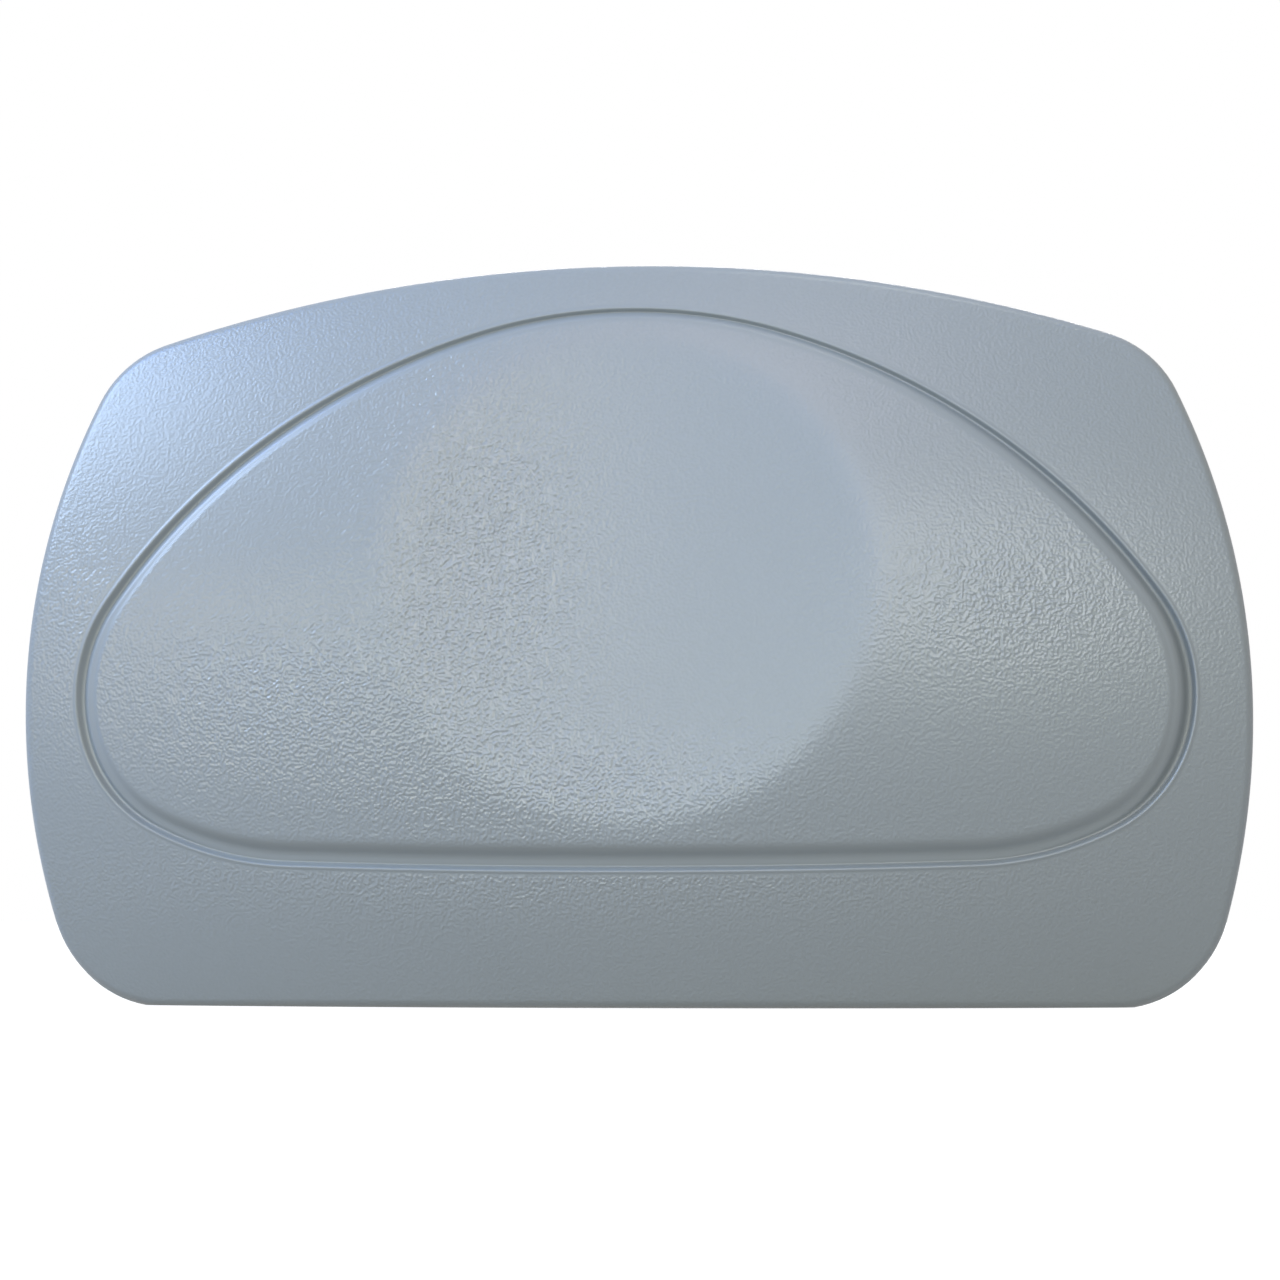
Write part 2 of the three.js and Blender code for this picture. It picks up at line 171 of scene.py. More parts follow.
def combine(body, tool, operation):
    """Joins one closed body with another, or cuts the other out of it."""
    works = []
    for bm in (body, tool):
        mesh = bpy.data.meshes.new("work")
        bm.to_mesh(mesh)
        bm.free()
        works.append(bpy.data.objects.new("work", mesh))
        bpy.context.scene.collection.objects.link(works[-1])
    modifier = works[0].modifiers.new("work", "BOOLEAN")
    modifier.object = works[1]
    modifier.operation = operation
    modifier.solver = "EXACT"
    shown = works[0].evaluated_get(bpy.context.evaluated_depsgraph_get())
    result = bmesh.new()
    result.from_mesh(shown.to_mesh())
    shown.to_mesh_clear()
    for work in works:
        bpy.data.objects.remove(work)
    bmesh.ops.remove_doubles(result, verts=result.verts, dist=merge_distance)
    return result


def finish_piece(name, bm, material, body, sharp_from=math.radians(35)):
    """Makes the mesh an object with smooth shading up to an angle, riding on its body."""
    mesh = bpy.data.meshes.new(name)
    bm.to_mesh(mesh)
    bm.free()
    mesh.materials.append(material)
    mesh.shade_smooth()
    mesh.set_sharp_from_angle(angle=sharp_from)
    piece = bpy.data.objects.new(name, mesh)
    bpy.context.scene.collection.objects.link(piece)
    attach(piece, body)
    return piece


def cup_body():
    """The bell, the neck and the mushroom head, from the middle of the hollow round to the top."""
    hollow_radius = cup_radius - cup_lip
    hollow = curve(
        (0, cup_hollow_depth), (hollow_radius * cup_turn_share, cup_hollow_depth),
        (hollow_radius, 0), bell_steps,
    )
    shoulder = curve(
        (cup_radius, cup_lip_thickness), (cup_radius * cup_turn_share, cup_bell_crown),
        (cup_neck_radius, cup_neck_start), bell_steps,
    )
    rounded = cup_edge_round
    profile = hollow + [(cup_radius - rounded, 0), (cup_radius, rounded)] + shoulder + [
        (cup_neck_radius, cup_head_start),
        (cup_head_radius - rounded, cup_head_start),
        (cup_head_radius, cup_head_start + rounded),
        (cup_head_radius, cup_head_start + cup_head_rim),
        (cup_neck_radius + rounded, cup_head_end - rounded),
        (cup_neck_radius - rounded, cup_head_end),
        (0, cup_head_end),
    ]
    return spun(profile, round_steps)


def release_tab():
    """The tab that stands out past the sealing lip, with a round end."""
    tab = bmesh.new()
    half = tab_width / 2
    root = tab_root_in - cup_radius
    outline = [(half, root), (-half, root)]
    for step in range(bell_steps + 1):
        turn = math.pi * (1 + step / bell_steps)
        outline.append((half * math.cos(turn), tab_round_middle + half * math.sin(turn)))
    face = tab.faces.new([tab.verts.new((x, -cup_lip_thickness, z)) for x, z in outline])
    raised = bmesh.ops.extrude_face_region(tab, geom=[face])["geom"]
    lifted = [item for item in raised if isinstance(item, bmesh.types.BMVert)]
    bmesh.ops.translate(tab, vec=(0, -tab_thickness, 0), verts=lifted)
    bmesh.ops.recalc_face_normals(tab, faces=tab.faces)
    return soften(tab, tab_round, edge_segments)


def grip_bar(bar):
    """One bar across the tab, twice as high as it stands, with its lower half in the tab."""
    z = tab_round_middle - grip_bar_gap * (bar - (grip_bars - 1) / 2)
    size = (grip_bar_length, 2 * grip_bar_height, grip_bar_width)
    return soften(
        block(size, (0, -cup_lip_thickness - tab_thickness, z)), grip_bar_round, edge_segments
    )


def suction_cup():
    cup = combine(cup_body(), release_tab(), "UNION")
    for bar in range(grip_bars):
        cup = combine(cup, grip_bar(bar), "UNION")
    return cup


# Clear soft PVC, injection moulded: glossy and see-through, faintly blue, with slow ripples
def clear_vinyl():
    vinyl_colour = "E2EBEE"
    vinyl_ior = 1.53
    ripple_size = 9 * mm
    ripple_depth = 0.06 * mm
    material, tree, shader = start_material("clear soft vinyl, injection moulded", {
        "Base Color": linear(vinyl_colour), "Roughness": 0.14, "IOR": vinyl_ior,
        "Transmission Weight": 0.86,
    })
    place = add_node(tree, "TexCoord").outputs["Object"]
    ripples = add_node(
        tree, "TexNoise", {"Scale": 1 / ripple_size, "Detail": 2.0}, {"Vector": place}
    )
    relief = add_node(tree, "Bump", {"Distance": ripple_depth}, {"Height": ripples.outputs["Fac"]})
    tree.links.new(relief.outputs["Normal"], shader.inputs["Normal"])
    return material


vinyl = clear_vinyl()
for corner, (x, z) in cup_places.items():
    cup = suction_cup()
    bmesh.ops.translate(cup, vec=(x, 0, z), verts=cup.verts)
    piece = finish_piece(f"vinyl_suction_cup_{corner}", cup, vinyl, f"cup_{corner}")
    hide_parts(f"suction_cup_{corner}")

# Snap sockets: flanged bushes whose four slit fingers hold the plate on barbs outside and a
# cup's head behind a lip inside. Injection moulded in natural acetal, pressed through the back.
socket_flange_radius = 12 * mm
socket_flange = 1.3 * mm
socket_barrel_radius = 8.2 * mm
socket_barb = 1.4 * mm
socket_barb_length = 3.6 * mm
socket_bore = 5.6 * mm
socket_lip_radius = 4.8 * mm
socket_chamber_radius = 6.8 * mm
socket_slit = 1.6 * mm
socket_bridge = 3.4 * mm
socket_top = 9.4 * mm
socket_barb_start = 15.7 * mm
socket_lip_start = 14.8 * mm
socket_lip_end = 16.6 * mm
socket_end = 21.4 * mm
socket_round = 0.2 * mm
socket_round_segments = 2
socket_steps = 72


def snap_socket():
    """A socket turned from its section, with two slits through its barrel for four fingers."""
    lead_in = socket_bore - socket_lip_radius
    flange_end = socket_top + socket_flange
    socket = spun([
        (socket_bore, socket_top),
        (socket_flange_radius, socket_top),
        (socket_flange_radius, flange_end),
        (socket_barrel_radius, flange_end),
        (socket_barrel_radius, socket_barb_start),
        (socket_barrel_radius + socket_barb, socket_barb_start),
        (socket_barrel_radius, socket_barb_start + socket_barb_length),
        (socket_barrel_radius, socket_end),
        (socket_chamber_radius, socket_end),
        (socket_chamber_radius, socket_lip_end),
        (socket_lip_radius, socket_lip_end),
        (socket_lip_radius, socket_lip_start),
        (socket_bore, socket_lip_start - lead_in),
    ], socket_steps, closed=True)
    slit_reach = 2 * (socket_flange_radius + socket_barb)
    slit_start = socket_top + socket_bridge
    slit_length = 2 * (socket_end - slit_start)
    middle = (0, -slit_start - slit_length / 2, 0)
    for size in ((slit_reach, slit_length, socket_slit), (socket_slit, slit_length, slit_reach)):
        socket = combine(socket, block(size, middle), "DIFFERENCE")
    return soften(socket, socket_round, socket_round_segments)


# Natural acetal, moulded: waxy white with a soft gleam and the faint stipple of the tool
def natural_acetal():
    acetal_colour = "EFEDE6"
    acetal_ior = 1.48
    light_reach = 1.5 * mm
    stipple_size = 0.5 * mm
    stipple_depth = 0.015 * mm
    material, tree, shader = start_material("natural acetal, injection moulded", {
        "Base Color": linear(acetal_colour), "Roughness": 0.36, "IOR": acetal_ior,
        "Subsurface Weight": 0.12, "Subsurface Scale": light_reach,
    })
    place = add_node(tree, "TexCoord").outputs["Object"]
    stipple = add_node(
        tree, "TexNoise", {"Scale": 1 / stipple_size, "Detail": 1.0}, {"Vector": place}
    )
    relief = add_node(
        tree, "Bump", {"Distance": stipple_depth}, {"Height": stipple.outputs["Fac"]}
    )
    tree.links.new(relief.outputs["Normal"], shader.inputs["Normal"])
    return material


acetal = natural_acetal()
for corner, (x, z) in cup_places.items():
    socket = snap_socket()
    bmesh.ops.translate(socket, vec=(x, 0, z), verts=socket.verts)
    piece = finish_piece(f"snap_socket_{corner}", socket, acetal, "pillow")
    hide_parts(f"cup_socket_{corner}")

# Back skin: the smooth half of the pad's skin, rolled up to the parting line, with a tapered
# pocket for each cup and a hole in its floor for the socket. Moulded polyurethane, 1.6 mm thick.
pad_width = 340 * mm
pad_height = 206 * mm
# Arcs from the top middle to the right and down, each as its radius, a share of half the width,
# and the degrees that it turns. One more arc, not listed, closes the outline at the bottom.
pad_arc_shares = [(2.89, 16.6), (0.18, 49.8), (1.41, 37.5), (0.196, 76.5)]
pad_steps = 400
arc_steps = 60
skin_wall = 1.6 * mm
parting_height = 10 * mm
parting_gap = 0.3 * mm
back_face_height = 5 * mm
back_roll = 4.5 * mm
back_roll_steps = 9
pocket_radius = 25 * mm
pocket_floor_radius = 22.5 * mm
pocket_floor_height = 11 * mm
pocket_mouth_round = 1.8 * mm
pocket_floor_round = 1.2 * mm
pocket_round_steps = 6
socket_hole = 8.5 * mm
pocket_steps = 96
skin_ior = 1.5


def evenly(loop, count):
    """Divides a closed run of points into equal lengths, from its first point on."""
    lengths = [(after - before).length for before, after in zip(loop, loop[1:] + loop[:1])]
    whole = sum(lengths)
    divided = []
    side = passed = 0
    for step in range(count):
        wanted = whole * step / count
        while passed + lengths[side] < wanted:
            passed += lengths[side]
            side += 1
        share = (wanted - passed) / lengths[side]
        divided.append(loop[side].lerp(loop[(side + 1) % len(loop)], share))
    return divided


def arc_outline(arc_shares, width, top, bottom, count):
    """A closed outline in X and Z: tangent arcs from the top middle round, mirrored."""
    x = z = heading = 0
    half = [(x, z)]
    for share, degrees in [*arc_shares, (None, None)]:
        turn = math.pi - heading if degrees is None else math.radians(degrees)
        radius = x / math.sin(turn) if share is None else share * width / 2
        middle_x = x - radius * math.sin(heading)
        middle_z = z - radius * math.cos(heading)
        for _ in range(arc_steps):
            heading += turn / arc_steps
            x = middle_x + radius * math.sin(heading)
            z = middle_z + radius * math.cos(heading)
            half.append((x, z))
    widest = max(x for x, z in half)
    lowest = half[-1][1]
    right = [Vector((x / widest * width / 2, top + z / lowest * (bottom - top))) for x, z in half]
    right[-1].x = 0
    left = [Vector((-point.x, point.y)) for point in reversed(right[1:-1])]
    return evenly(right + left, count)


def outward_of(outline):
    """The outward direction at each point of an outline."""
    following = outline[1:] + outline[:1]
    return [
        Vector((before.y - after.y, after.x - before.x)).normalized()
        for before, after in zip(outline[-1:] + outline[:-1], following)
    ]


def offset(outline, distance):
    """An outline moved outward by a distance, or inward by one under 0."""
    return [point + out * distance for point, out in zip(outline, outward_of(outline))]


def lift(outline, height_of):
    """Places in space for an outline, at a height for each of its points."""
    return [Vector((point.x, -height_of(index), point.y)) for index, point in enumerate(outline)]


def first_ring(bm, places):
    """A new ring of vertices, with an edge from each to the next."""
    ring = bmesh.ops.create_circle(bm, segments=len(places))["verts"]
    for vert, place in zip(ring, places):
        vert.co = place
    return ring


def ring_edges(bm, ring):
    """The edges along a ring of vertices."""
    return [bm.edges.get(pair) for pair in zip(ring, ring[1:] + ring[:1])]


def next_ring(bm, ring, places):
    """Extrudes a ring of vertices, and moves the new ring to its places."""
    extruded = bmesh.ops.extrude_edge_only(bm, edges=ring_edges(bm, ring))["geom"]
    fresh = {item for item in extruded if isinstance(item, bmesh.types.BMVert)}
    grown = [next(e.other_vert(v) for e in v.link_edges if e.other_vert(v) in fresh) for v in ring]
    for vert, place in zip(grown, places):
        vert.co = place
    return grown


pad_outline = arc_outline(pad_arc_shares, pad_width, pad_height / 2, -pad_height / 2, pad_steps)


def pocket_profile():
    """A pocket from its mouth to its socket hole, as (radius, height) pairs."""
    lean = (pocket_radius - pocket_floor_radius) / (pocket_floor_height - back_face_height)
    mouth = curve(
        (pocket_radius + pocket_mouth_round, back_face_height),
        (pocket_radius, back_face_height),
        (pocket_radius - lean * pocket_mouth_round, back_face_height + pocket_mouth_round),
        pocket_round_steps,
    )
    foot_start = pocket_floor_radius + lean * pocket_floor_round
    foot = curve(
        (foot_start, pocket_floor_height - pocket_floor_round),
        (pocket_floor_radius, pocket_floor_height),
        (pocket_floor_radius - pocket_floor_round, pocket_floor_height),
        pocket_round_steps,
    )
    return mouth + foot + [(socket_hole, pocket_floor_height)]


def back_rings(depth):
    """The rolled edge of the back, from its side inward, sunk under the skin by a depth."""
    rings = []
    for step in range(back_roll_steps + 1):
        turn = math.pi / 2 * step / back_roll_steps
        outline = offset(pad_outline, (back_roll - depth) * math.cos(turn) - back_roll)
        height = back_face_height + back_roll - (back_roll - depth) * math.sin(turn)
        rings.append([Vector((point.x, -height, point.y)) for point in outline])
    return rings


def round_places(x, z, radius, height):
    """Places in a circle round a middle, at a height."""
    turns = [-2 * math.pi * step / pocket_steps for step in range(pocket_steps)]
    return [
        Vector((x + radius * math.cos(turn), -height, z + radius * math.sin(turn))) for turn in turns
    ]


def back_skin():
    """The rolled edge and the pockets, the flat back filled in between them, then its wall."""
    bm = bmesh.new()
    lip = parting_height - parting_gap
    ring = first_ring(bm, lift(pad_outline, lambda index: lip))
    for places in back_rings(0):
        ring = next_ring(bm, ring, places)
    open_edges = ring_edges(bm, ring)
    for x, z in cup_places.values():
        mouth, *inward = [round_places(x, z, radius, height) for radius, height in pocket_profile()]
        ring = first_ring(bm, mouth)
        open_edges += ring_edges(bm, ring)
        for places in inward:
            ring = next_ring(bm, ring, places)
    bmesh.ops.triangle_fill(bm, use_beauty=True, edges=open_edges)
    bmesh.ops.recalc_face_normals(bm, faces=bm.faces)
    bmesh.ops.solidify(bm, geom=bm.faces, thickness=skin_wall)
    bmesh.ops.recalc_face_normals(bm, faces=bm.faces)
    return bm


# Polyurethane skin off a blasted mould: half matt, with a fine stipple and the faintest clouding
def smooth_skin():
    back_skin_colour = "8F979D"
    back_skin_pale_colour = "979EA3"
    stipple_size = 0.7 * mm
    stipple_depth = 0.03 * mm
    cloud_size = 45 * mm
    material, tree, shader = start_material("polyurethane skin, moulded smooth", {
        "Roughness": 0.56, "IOR": skin_ior,
    })
    place = add_node(tree, "TexCoord").outputs["Object"]
    clouds = add_node(tree, "TexNoise", {"Scale": 1 / cloud_size, "Detail": 3.0}, {"Vector": place})
    tint = add_node(
        tree, "Mix",
        {"data_type": "RGBA", 6: linear(back_skin_colour), 7: linear(back_skin_pale_colour)},
        {0: clouds.outputs["Fac"]},
    )
    tree.links.new(tint.outputs[2], shader.inputs["Base Color"])
    stipple = add_node(
        tree, "TexNoise", {"Scale": 1 / stipple_size, "Detail": 1.0}, {"Vector": place}
    )
    relief = add_node(
        tree, "Bump", {"Distance": stipple_depth}, {"Height": stipple.outputs["Fac"]}
    )
    tree.links.new(relief.outputs["Normal"], shader.inputs["Normal"])
    return material


back = finish_piece("smooth_back_skin", back_skin(), smooth_skin(), "pillow")
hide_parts("back_skin")

# Front skin: the grained face of the pad, with its D-shaped groove, raised middle panel and round
# head dish, rolled back to the parting line. Polyurethane, 1.6 mm thick, moulded with its grain
# and backed by the foam, so it keeps the moulded form without a cloth simulation.
edge_height = 28 * mm
front_roll = 2.4 * mm
crown_rise = 24 * mm
rim_at_sides = 16.1 * mm
rim_at_top = 13.5 * mm
rim_at_bottom = 37.4 * mm
# The groove's outline, in arcs as the pad's
groove_arc_shares = [(1.03, 17.4), (1.502, 36.9), (0.337, 53.3), (0.291, 45.4), (0.676, 25.1)]
dish_radius = 67 * mm
dish_depth = 9.5 * mm
dish_centre_above = 14 * mm
dish_blend_share = 0.12
face_centre = Vector((0, dish_centre_above))
# Across the groove: a low bead, the outer wall, the floor, a step up, a shelf, and the panel's
# edge, each with its sizes at the top, the bottom, the left and the right. The step is lost at the
# bottom, where the panel's edge is wide and soft, and there is hardly a shelf at the top.
bead_width = 1.1 * mm
bead_height = 0.2 * mm
wall_widths = (0.8 * mm, 1 * mm, 1.5 * mm, 1 * mm)
groove_depths = (1.1 * mm, 2 * mm, 1.7 * mm, 1.9 * mm)
floor_widths = (0.2 * mm, 0.5 * mm, 0.9 * mm, 1.4 * mm)
step_widths = (1.6 * mm, 0.4 * mm, 0.5 * mm, 2.2 * mm)
step_heights = (1 * mm, 0, 1.3 * mm, 1.5 * mm)
shelf_widths = (0.3 * mm, 1.9 * mm, 2.3 * mm, 1.3 * mm)
shelf_rise = 0.1 * mm
panel_edge_widths = (0.5 * mm, 2.2 * mm, 0.5 * mm, 1 * mm)
panel_edge_rounds = (0.8 * mm, 2.4 * mm, 0.6 * mm, 1 * mm)
# How much painted shade darkens the foot of the groove's wall at the same four sides, standing in
# for the groove's shadow. The foot is so many spans into the section, and the painted shade fades
# out so many spans from it.
painted_shade_shares = (0.2, 0.3, 0.25, 1)
foot_spans = 4
shade_spans = 1.7
shade_fade_spans = 0.7
# Where the grain is deeper than elsewhere, or shallower with a share under 0, as (x, z, reach
# across, reach up, share of the way to the full depth). Deeper grain is also painted paler, so these
# spots carry painted highlights.
grain_spots = [
    (-94 * mm, -21 * mm, 46 * mm, 24 * mm, 1),
    (-38 * mm, 20 * mm, 30 * mm, 50 * mm, 1),
    (104 * mm, 8 * mm, 34 * mm, 22 * mm, 0.7),
    (-154 * mm, 2 * mm, 14 * mm, 28 * mm, 0.4),
    (-138 * mm, 58 * mm, 36 * mm, 26 * mm, -0.05),
    (-20 * mm, -43 * mm, 56 * mm, 15 * mm, 0.9),
    (-16 * mm, -68 * mm, 120 * mm, 10 * mm, 0.75),
]
grain_elsewhere_share = 0.22
front_roll_steps = 12
rim_steps = 22
groove_span_steps = 3
panel_outer_steps = 40
panel_inner_steps = 46
last_ring_share = 0.02
dish_fit_share = 0.9
hit_slack_share = 0.000001
# The outside has every ring, and the inside of the skin, which isn't seen, every fourth one
outside_stride = 1
inside_stride = 4


def ray_onto(outline, toward):
    """Where the ray from the middle of the face toward a point leaves an outline."""
    ray = (toward - face_centre).normalized()
    reach = 0
    for corner, after in zip(outline, outline[1:] + outline[:1]):
        start = corner - face_centre
        edge = after - corner
        across = ray.x * edge.y - ray.y * edge.x
        share = (start.x * ray.y - start.y * ray.x) / across if across else -1
        if -hit_slack_share <= share <= 1 + hit_slack_share:
            reach = max(reach, (start.x * edge.y - start.y * edge.x) / across)
    return face_centre + ray * reach


groove_outline = arc_outline(
    groove_arc_shares, pad_width - 2 * rim_at_sides, pad_height / 2 - rim_at_top,
    rim_at_bottom - pad_height / 2, pad_steps,
)
groove_outline = [ray_onto(groove_outline, point) for point in pad_outline]
groove_outward = outward_of(groove_outline)


def by_side(out, sizes):
    """The size for a part of the groove that faces outward so, of its sizes at the four sides."""
    top, bottom, left, right = sizes
    return (right if out.x > 0 else left) * out.x**2 + (top if out.y > 0 else bottom) * out.y**2


def groove_section(out):
    """Control points across the groove, as (distance inward, depth), where it faces outward."""
    wall = by_side(out, wall_widths)
    depth = by_side(out, groove_depths)
    floor_end = wall + by_side(out, floor_widths)
    shelf_start = floor_end + by_side(out, step_widths)
    shelf_end = shelf_start + by_side(out, shelf_widths)
    shelf_depth = depth - by_side(out, step_heights)
    panel_edge = shelf_end + by_side(out, panel_edge_widths)
    return [
        (-2 * bead_width, 0),
        (-bead_width, 0),
        (-bead_width / 2, -bead_height),
        (0, -bead_height / 2),
        (wall, depth),
        (floor_end, depth),
        (shelf_start, shelf_depth),
        (shelf_end, shelf_depth - shelf_rise),
        (panel_edge, 0),
        (panel_edge + by_side(out, panel_edge_rounds), 0),
    ]


def smooth_section(points):
    """A smooth line along control points: a curve round each one, between middles."""
    middles = [tuple((a + b) / 2 for a, b in zip(*pair)) for pair in zip(points, points[1:])]
    line = [points[0]]
    for start, bend, end in zip(middles, points[1:], middles[1:]):
        line += curve(start, bend, end, groove_span_steps)[:-1]
    return [*line, middles[-1], points[-1]]


sections = [smooth_section(groove_section(out)) for out in groove_outward]
last_groove_step = len(sections[0]) - 1


def section_line(step):
    """The line right round the face through one step of the groove's section."""
    return [p - out * s[step][0] for p, out, s in zip(groove_outline, groove_outward, sections)]


panel_outline = section_line(last_groove_step)


def softly_above_zero(value, blend):
    """The value where it is above zero, and nothing below, with a smooth bend between."""
    return (value + math.sqrt(value**2 + blend**2)) / 2


def face_height(point):
    """Height of the face without its groove: a dome with the round dish sunk in it."""
    crown = crown_rise * (1 - (2 * point.x / pad_width) ** 2 - (2 * point.y / pad_height) ** 2)
    reach = (point - face_centre).length / dish_radius
    dish = dish_depth * softly_above_zero(1 - reach**2, dish_blend_share)
    return edge_height + crown - dish


def roll_ring(turn, depth):
    """A ring of the rolled edge, from its side inward, sunk under the skin by a depth."""
    outline = offset(pad_outline, (front_roll - depth) * math.cos(turn) - front_roll)
    short = front_roll - (front_roll - depth) * math.sin(turn)
    return lift(outline, lambda index: face_height(outline[index]) - short)


def rim_ring(share, depth):
    """A ring between the rolled edge and the groove."""
    rim = offset(pad_outline, -front_roll)
    outline = [outer.lerp(inner, share) for outer, inner in zip(rim, section_line(0))]
    return lift(outline, lambda index: face_height(outline[index]) - depth)


def groove_ring(step, depth):
    """A ring along the groove, as far in and as deep as one step of its section."""
    outline = section_line(step)
    return lift(
        outline, lambda index: face_height(outline[index]) - sections[index][step][1] - depth
    )


def panel_ring(dish_share, edge_share, depth):
    """A ring of the panel: a share of the dish's circle, then a share of the way to the edge."""
    outline = []
    for edge in panel_outline:
        reach = (edge - face_centre).length
        circle = min(dish_radius, reach * dish_fit_share)
        out = circle * dish_share + (reach - circle) * edge_share
        outline.append(face_centre + (edge - face_centre) * out / reach)
    return lift(outline, lambda index: face_height(outline[index]) - depth)


def grain_at(step):
    """The grain fades out over the groove's bead, and comes back at the panel's edge."""
    return max(0, 1 - min(step, last_groove_step - step) / groove_span_steps)


def painted_shade_at(step):
    """Painted shade gathers at the foot of the groove's outer wall, and fades away from it both
    ways.
    """
    spans_away = abs(step / groove_span_steps - foot_spans)
    return min(1, max(0, (shade_spans - spans_away) / shade_fade_spans))


def grain_depth_at(place):
    """How deep the grain is at a place on the face, as a share of its full depth."""
    missing = 1 - grain_elsewhere_share
    for x, z, across, up, share in grain_spots:
        away = ((place.x - x) / across) ** 2 + ((place.z - z) / up) ** 2
        missing *= 1 - share * math.exp(-away)
    return 1 - missing


def face_rings(depth, stride):
    """The rings of the face from its rolled edge inward, each with its grain and its shade."""
    rings = []
    for step in range(0, front_roll_steps + 1, stride):
        turn = math.pi / 2 * step / front_roll_steps
        rings.append((roll_ring(turn, depth), step / front_roll_steps, 0))
    for step in range(stride, rim_steps, stride):
        rings.append((rim_ring(step / rim_steps, depth), 1, 0))
    for step in range(last_groove_step):
        rings.append((groove_ring(step, depth), grain_at(step), painted_shade_at(step)))
    for step in range(0, panel_outer_steps, stride):
        rings.append((panel_ring(1, 1 - step / panel_outer_steps, depth), 1, 0))
    for step in range(0, panel_inner_steps, stride):
        rings.append((panel_ring(1 - step / panel_inner_steps, 0, depth), 1, 0))
    rings.append((panel_ring(last_ring_share, 0, depth), 1, 0))
    return rings


def close_onto(bm, ring, middle):
    """Closes the last of a run of rings onto a point in its middle."""
    ring = next_ring(bm, ring, [vert.co for vert in ring])
    bmesh.ops.pointmerge(bm, verts=ring, merge_co=middle)


def face_middle(depth):
    """The middle of the dish, sunk under the skin by a depth."""
    return Vector((face_centre.x, depth - face_height(face_centre), face_centre.y))


def front_skin():
    """The outside of the skin from its lip inward, then the inside from the same lip."""
    bm = bmesh.new()
    grain = bm.verts.layers.float.new("grain")
    # Painted shade for the groove's foot, kept per vertex
    painted_shade = bm.verts.layers.float.new("painted_shade")
    lip = first_ring(bm, lift(offset(pad_outline, -skin_wall), lambda index: parting_height))
    side = (lift(pad_outline, lambda index: parting_height), 0, 0)
    outside = [side, *face_rings(0, outside_stride)]
    inside = face_rings(skin_wall, inside_stride)
    for rings, depth in ((outside, 0), (inside, skin_wall)):
        ring = lip
        for places, grained, shaded in rings:
            ring = next_ring(bm, ring, places)
            for vert, out in zip(ring, groove_outward):
                vert[grain] = grained * grain_depth_at(vert.co)
                vert[painted_shade] = shaded * by_side(out, painted_shade_shares)
        close_onto(bm, ring, face_middle(depth))
    bmesh.ops.recalc_face_normals(bm, faces=bm.faces)
    return bm


# Polyurethane skin off an etched mould: satin blue-grey, with a grain of short worm-like strokes
# that gleams where it faces a light. Each stroke is painted a little paler than the skin between,
# most where the grain is deepest: painted highlight on the strokes and painted shade between them.
# The groove is smooth and duller, with painted shade at the foot of its wall.
def grained_skin():
    skin_colour = "9DA5A9"
    # Painted light on the grain: strokes painted paler than the skin, with painted shade between
    # them
    painted_ridge_light_colour = "B2BABE"
    # Painted shade for the foot of the groove's wall
    painted_shade_colour = "7F8689"
    groove_roughness = 0.38
    grain_roughness = 0.24
    stroke_size = 0.85 * mm
    bend_size = 9 * mm
    bend_reach = 1.5 * mm
    grain_depth = 0.42 * mm
    noise_middle = (0.5, 0.5, 0.5)
    material, tree, shader = start_material("polyurethane skin, moulded with a worm grain", {
        "IOR": skin_ior, "Specular IOR Level": 1,
    })
    place = add_node(tree, "TexCoord").outputs["Object"]
    bend = add_node(tree, "TexNoise", {"Scale": 1 / bend_size, "Detail": 1.0}, {"Vector": place})
    centred = add_node(
        tree, "VectorMath", {"operation": "SUBTRACT", 1: noise_middle}, {0: bend.outputs["Color"]}
    )
    bent = add_node(
        tree, "VectorMath", {"operation": "MULTIPLY_ADD", 1: (bend_reach,) * 3},
        {0: centred.outputs["Vector"], 2: place},
    )
    strokes = add_node(
        tree, "TexNoise", {"Scale": 1 / stroke_size, "Detail": 0.0},
        {"Vector": bent.outputs["Vector"]},
    )
    grain = add_node(tree, "Attribute", {"attribute_name": "grain"})
    raised = add_node(
        tree, "Math", {"operation": "MULTIPLY"},
        {0: strokes.outputs["Fac"], 1: grain.outputs["Fac"]},
    )
    relief = add_node(tree, "Bump", {"Distance": grain_depth}, {"Height": raised.outputs["Value"]})
    tree.links.new(relief.outputs["Normal"], shader.inputs["Normal"])
    gleam = add_node(
        tree, "MapRange", {"To Min": groove_roughness, "To Max": grain_roughness},
        {"Value": grain.outputs["Fac"]},
    )
    tree.links.new(gleam.outputs["Result"], shader.inputs["Roughness"])
    painted_shade = add_node(tree, "Attribute", {"attribute_name": "painted_shade"})
    # Painted highlight on the strokes and painted shade between them, strongest where the grain is
    # deepest
    painted_ridge_light = add_node(
        tree, "Mix", {"data_type": "RGBA", 6: linear(skin_colour), 7: linear(painted_ridge_light_colour)},
        {0: raised.outputs["Value"]},
    )
    # Painted shade darkens the groove's foot
    tint = add_node(
        tree, "Mix", {"data_type": "RGBA", 7: linear(painted_shade_colour)},
        {0: painted_shade.outputs["Fac"], 6: painted_ridge_light.outputs[2]},
    )
    tree.links.new(tint.outputs[2], shader.inputs["Base Color"])
    return material


face = finish_piece(
    "grained_front_skin", front_skin(), grained_skin(), "pillow", math.radians(80)
)
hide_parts("front_skin")

# Insert plate: the perforated carrier inside the foam, with a stiffening rib round it and a
# collar round each hole that a socket clips to. Injection moulded in natural polypropylene.
plate_in_from_edge = 28 * mm
plate_height = 12.9 * mm
plate_thickness = 2.5 * mm
plate_rib_width = 2 * mm
plate_rib_height = 3 * mm
plate_collar_radius = 9.9 * mm
plate_collar_wall = 2 * mm
plate_hole_radius = 7 * mm
